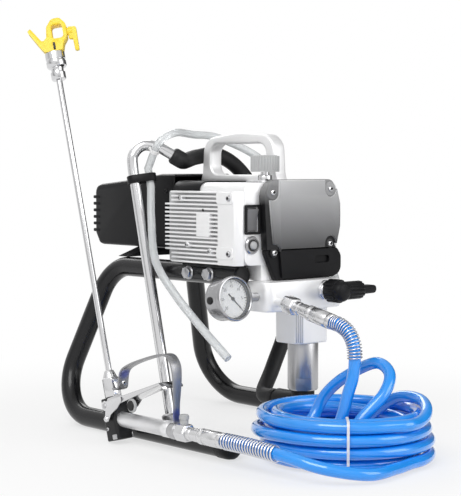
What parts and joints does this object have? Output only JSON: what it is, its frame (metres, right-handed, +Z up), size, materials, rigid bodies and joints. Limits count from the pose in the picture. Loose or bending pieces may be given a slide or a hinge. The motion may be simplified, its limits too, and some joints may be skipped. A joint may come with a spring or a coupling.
{
  "type": "airless paint sprayer",
  "caption": "Skid-framed airless paint sprayer: electric drive, piston pump, gauge, coiled hose, spray gun on a pole and gooseneck suction set.",
  "frame": {"origin": "middle of the machine's footprint on the floor, cords left out", "axes": "+Z up, -Y out of the front cover, +X to the machine's right as seen from the front"},
  "size_m": [0.3466, 0.5709, 0.5243],
  "materials": {
    "black_gloss": "gloss",
    "black_plastic": "satin",
    "black_rubber": "matt",
    "grey_plastic": "satin",
    "cast_silver": "cast, satin",
    "bright_steel": "bright",
    "white_paint": "satin",
    "white_plastic": "satin",
    "clear_plastic": "clear",
    "blue_hose": "gloss",
    "yellow_plastic": "gloss",
    "copper": "wound"
  },
  "bodies": {
    "machine": {"access_cover": "black_plastic", "carrier_bolt_left_1": "bright_steel", "carrier_bolt_left_2": "bright_steel", "carrier_bolt_right_1": "bright_steel", "carrier_bolt_right_2": "bright_steel", "carrier_channel": "black_gloss", "carry_handle": "cast_silver", "control_cover": "cast_silver", "drain_hose": "clear_plastic", "drive_housing": "cast_silver", "front_cover": "black_plastic", "gauge_case": "bright_steel", "gauge_dial": "white_paint", "gun_body": "black_plastic", "gun_handle": "cast_silver", "gun_swivel": "bright_steel", "hose_coil": "blue_hose", "hose_end_lower": "bright_steel", "hose_end_upper": "bright_steel", "hose_lead": "blue_hose", "hose_tie": "white_plastic", "inlet_elbow": "black_plastic", "knob_stem": "bright_steel", "motor_cover": "black_plastic", "motor_stator": "copper", "motor_support": "black_plastic", "pole_nut": "bright_steel", "prime_valve": "bright_steel", "pump_block": "cast_silver", "pump_cylinder": "bright_steel", "pump_manifold": "cast_silver", "reset_bush": "bright_steel", "skid_cap_left": "black_plastic", "skid_cap_right": "black_plastic", "skid_tube_left": "black_gloss", "skid_tube_right": "black_gloss", "spray_pole": "bright_steel", "spring_guard_lower": "bright_steel", "spring_guard_upper": "bright_steel", "suction_hose": "black_rubber", "suction_pipe": "bright_steel", "suction_strainer": "bright_steel", "switch_bezel": "black_plastic", "tip_guard": "yellow_plastic", "tip_nut": "bright_steel", "trigger_guard": "bright_steel", "tube_clip": "black_plastic"},
    "knob": {"pressure_knob": "grey_plastic"},
    "rocker": {"switch_rocker": "black_plastic"},
    "reset": {"reset_button": "black_plastic"},
    "prime_lever": {"prime_handle": "black_plastic"},
    "needle": {"gauge_needle": "black_plastic"},
    "gun_trigger": {"trigger": "bright_steel"},
    "tip": {"spray_tip": "yellow_plastic"},
    "rotor": {"motor_rotor": "bright_steel", "cooling_fan": "black_plastic", "motor_pinion": "bright_steel"},
    "crank": {"drive_gear": "bright_steel"},
    "plunger": {"crank_yoke": "bright_steel", "piston_rod": "bright_steel"}
  },
  "joints": [
    {"name": "pressure_turn", "type": "hinge", "parent": "machine", "child": "knob", "pos_m": [-0.00719, -0.1227, 0.34], "axis": [0, 0, 1], "range_deg": [0, 270]},
    {"name": "power_rock", "type": "hinge", "parent": "machine", "child": "rocker", "pos_m": [-0.04769, -0.1427, 0.2725], "axis": [1, 0, 0], "range_deg": [-14, 0]},
    {"name": "reset_press", "type": "slide", "parent": "machine", "child": "reset", "axis": [0, 1, 0], "range_m": [0, 0.0025], "stiffness_N_per_m": 300},
    {"name": "prime_turn", "type": "hinge", "parent": "machine", "child": "prime_lever", "pos_m": [0.05581, -0.1827, 0.185], "axis": [0, 1, 0], "range_deg": [0, 90]},
    {"name": "gauge_swing", "type": "hinge", "parent": "machine", "child": "needle", "pos_m": [-0.08499, -0.1427, 0.181], "axis": [0, -0.9903, 0.1392], "range_deg": [0, 270]},
    {"name": "trigger_pull", "type": "hinge", "parent": "machine", "child": "gun_trigger", "pos_m": [-0.14019, 0.00302, 0.04525], "axis": [1, 0, 0], "range_deg": [0, 12], "stiffness_Nm_per_rad": 1, "springref_deg": -11.46},
    {"name": "tip_reverse", "type": "hinge", "parent": "machine", "child": "tip", "pos_m": [-0.14019, 0.13161, 0.50272], "axis": [0.7431, -0.6442, 0.1811], "range_deg": [0, 180]},
    {"name": "motor_spin", "type": "hinge", "parent": "machine", "child": "rotor", "pos_m": [0.02681, -0.0127, 0.272], "axis": [0, 1, 0], "continuous": true},
    {"name": "crank_spin", "type": "hinge", "parent": "machine", "child": "crank", "pos_m": [0.05241, -0.0927, 0.25417], "axis": [0, 1, 0], "continuous": true},
    {"name": "plunger_stroke", "type": "slide", "parent": "machine", "child": "plunger", "axis": [0, 0, 1], "range_m": [0, 0.02]}
  ],
  "couplings": [
    {"joint": "crank_spin", "follows": "motor_spin", "ratio": -0.3}
  ]
}
